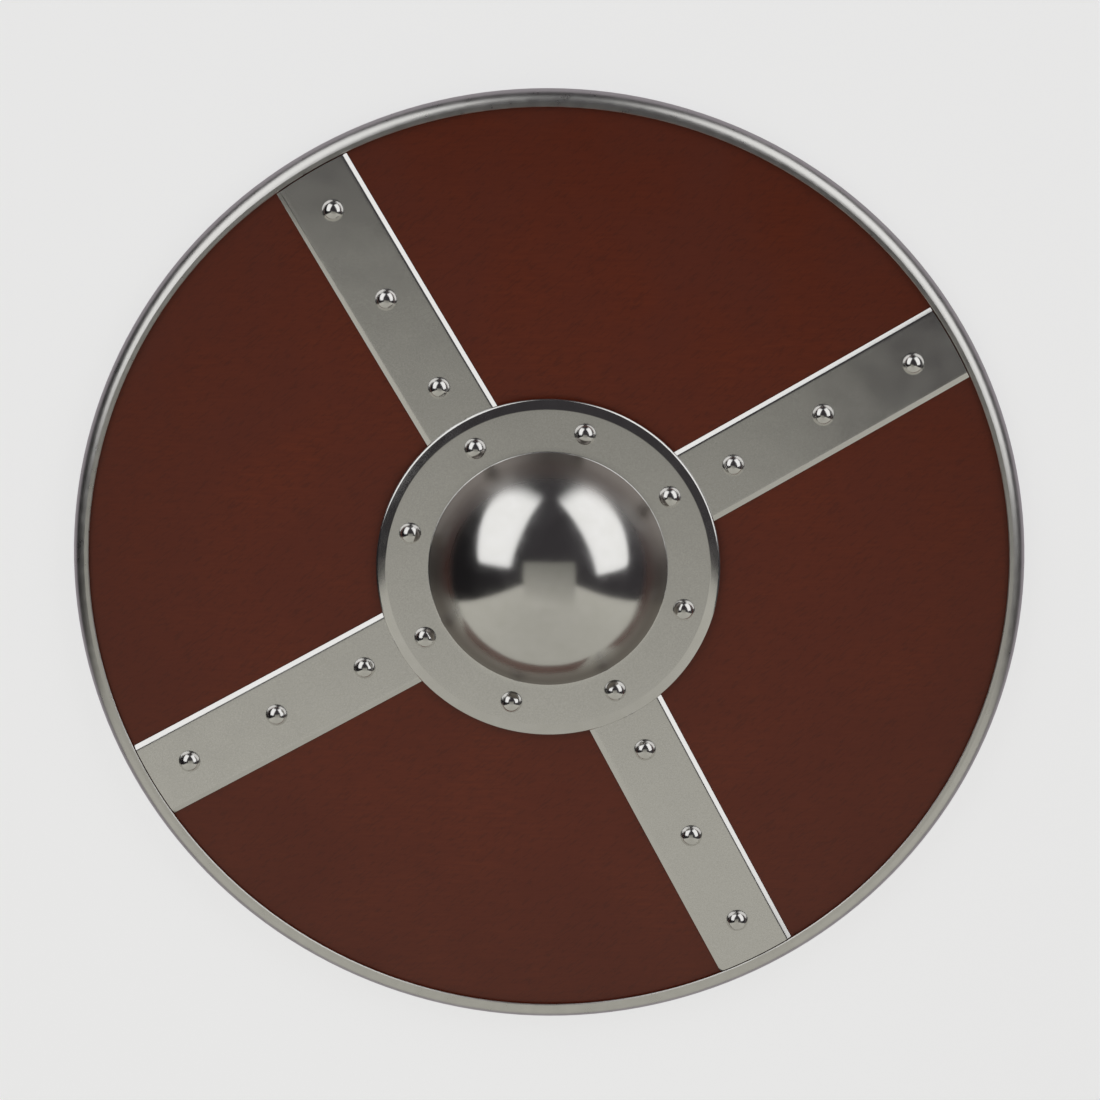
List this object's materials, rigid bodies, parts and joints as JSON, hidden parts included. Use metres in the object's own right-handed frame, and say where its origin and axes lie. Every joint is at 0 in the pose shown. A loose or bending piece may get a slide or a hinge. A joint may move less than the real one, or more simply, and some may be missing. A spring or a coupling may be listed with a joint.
{
  "type": "buckler shield",
  "caption": "Round dished wooden shield with a rolled steel rim, radial straps, a hollow domed boss with a riveted flange, and a hand grip behind it.",
  "frame": {"origin": "under the shield's middle, at the level of the rim's underside, which lies on the ground", "axes": "+Z out of the face, through the boss; +Y towards the top of the shield as it is seen from the front; +X to its right"},
  "size_m": [0.46, 0.46, 0.061],
  "materials": {
    "board": "dark red-brown stained and varnished",
    "steel": "buffed sheet",
    "rivet": "polished",
    "grip": "oiled"
  },
  "bodies": {
    "root": {"board": "board", "rim": "steel", "boss": "steel", "strap_1": "steel", "strap_2": "steel", "strap_3": "steel", "strap_4": "steel", "grip": "grip", "boss_rivet_1": "rivet", "boss_rivet_2": "rivet", "boss_rivet_3": "rivet", "boss_rivet_4": "rivet", "boss_rivet_5": "rivet", "boss_rivet_6": "rivet", "boss_rivet_7": "rivet", "boss_rivet_8": "rivet", "strap_rivet_1_1": "rivet", "strap_rivet_1_2": "rivet", "strap_rivet_1_3": "rivet", "strap_rivet_2_1": "rivet", "strap_rivet_2_2": "rivet", "strap_rivet_2_3": "rivet", "strap_rivet_3_1": "rivet", "strap_rivet_3_2": "rivet", "strap_rivet_3_3": "rivet", "strap_rivet_4_1": "rivet", "strap_rivet_4_2": "rivet", "strap_rivet_4_3": "rivet"}
  },
  "joints": []
}
